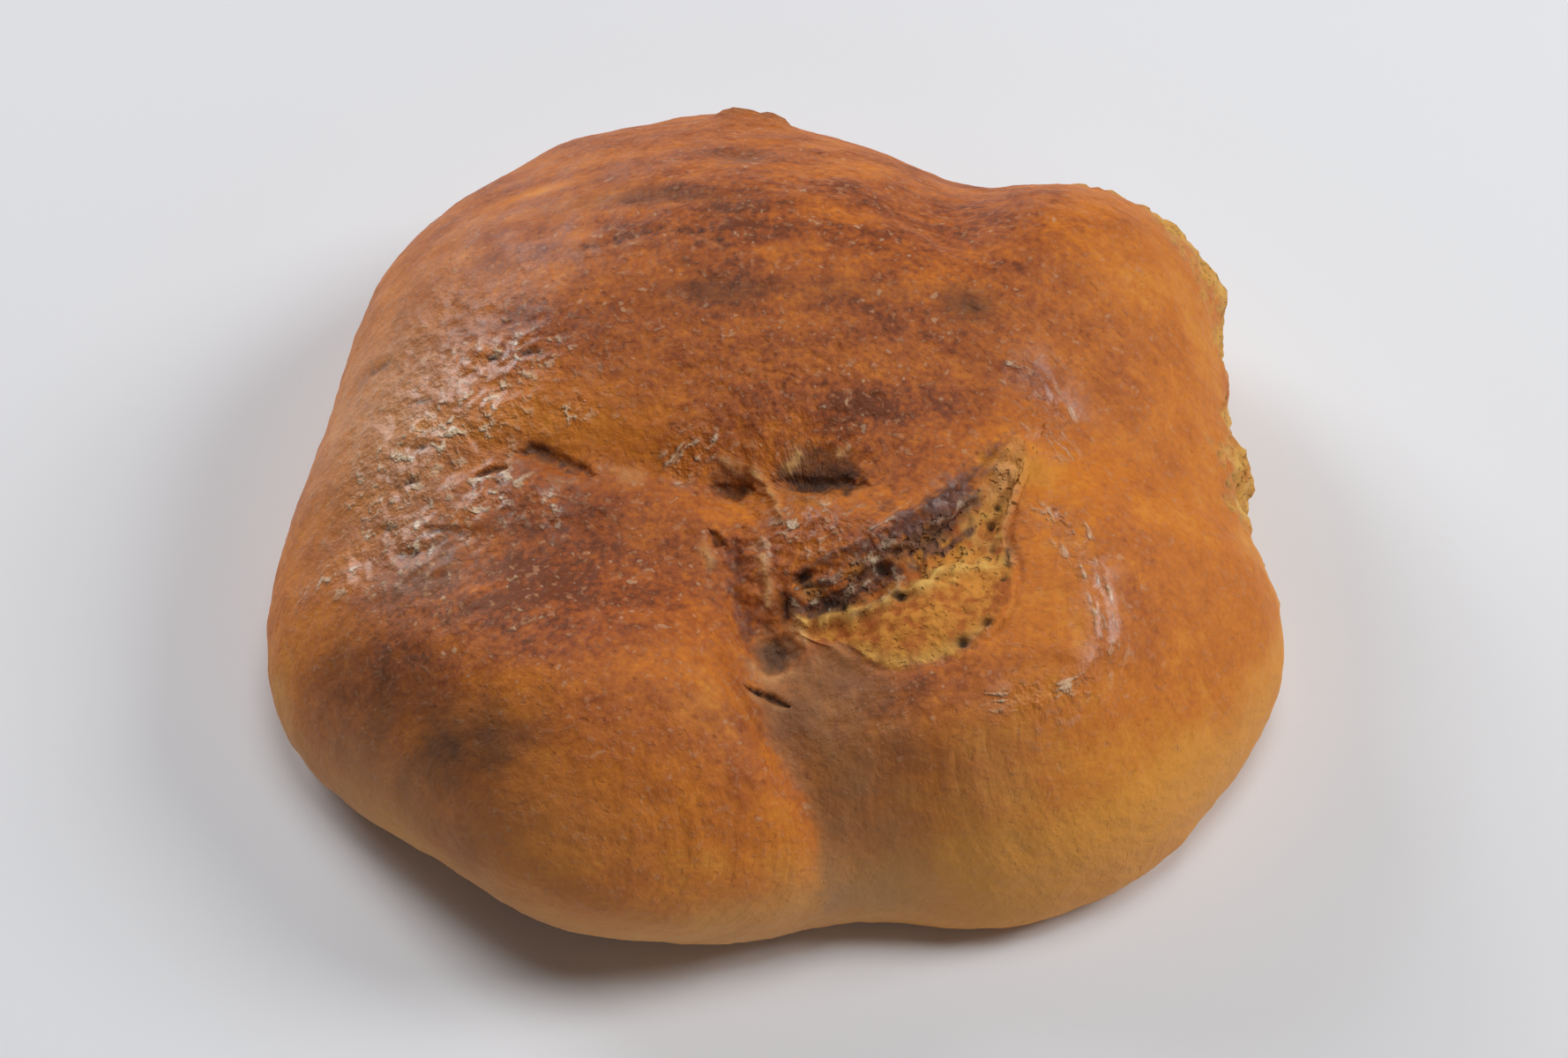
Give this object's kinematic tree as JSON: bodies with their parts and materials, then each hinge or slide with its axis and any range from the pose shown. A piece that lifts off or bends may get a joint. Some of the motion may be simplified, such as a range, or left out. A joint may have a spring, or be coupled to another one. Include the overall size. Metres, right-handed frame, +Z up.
{
  "type": "bread loaf",
  "caption": "Round crusty hearth loaf of folded dough with soft lobes, a sunken navel, a seam over its front edge and a burst tear that bares the crumb beside a burnt ear of crust.",
  "frame": {"origin": "on the flat base, at the point that the outline's reach is measured from, near the middle of the base", "axes": "+Z up out of the base, -Y towards the front edge that the seam runs over, +X to the right seen from the front"},
  "size_m": [0.2052, 0.205, 0.0778],
  "materials": {
    "crust": "baked crust, satin with glossy patches"
  },
  "bodies": {
    "root": {"loaf": "crust"}
  },
  "joints": []
}
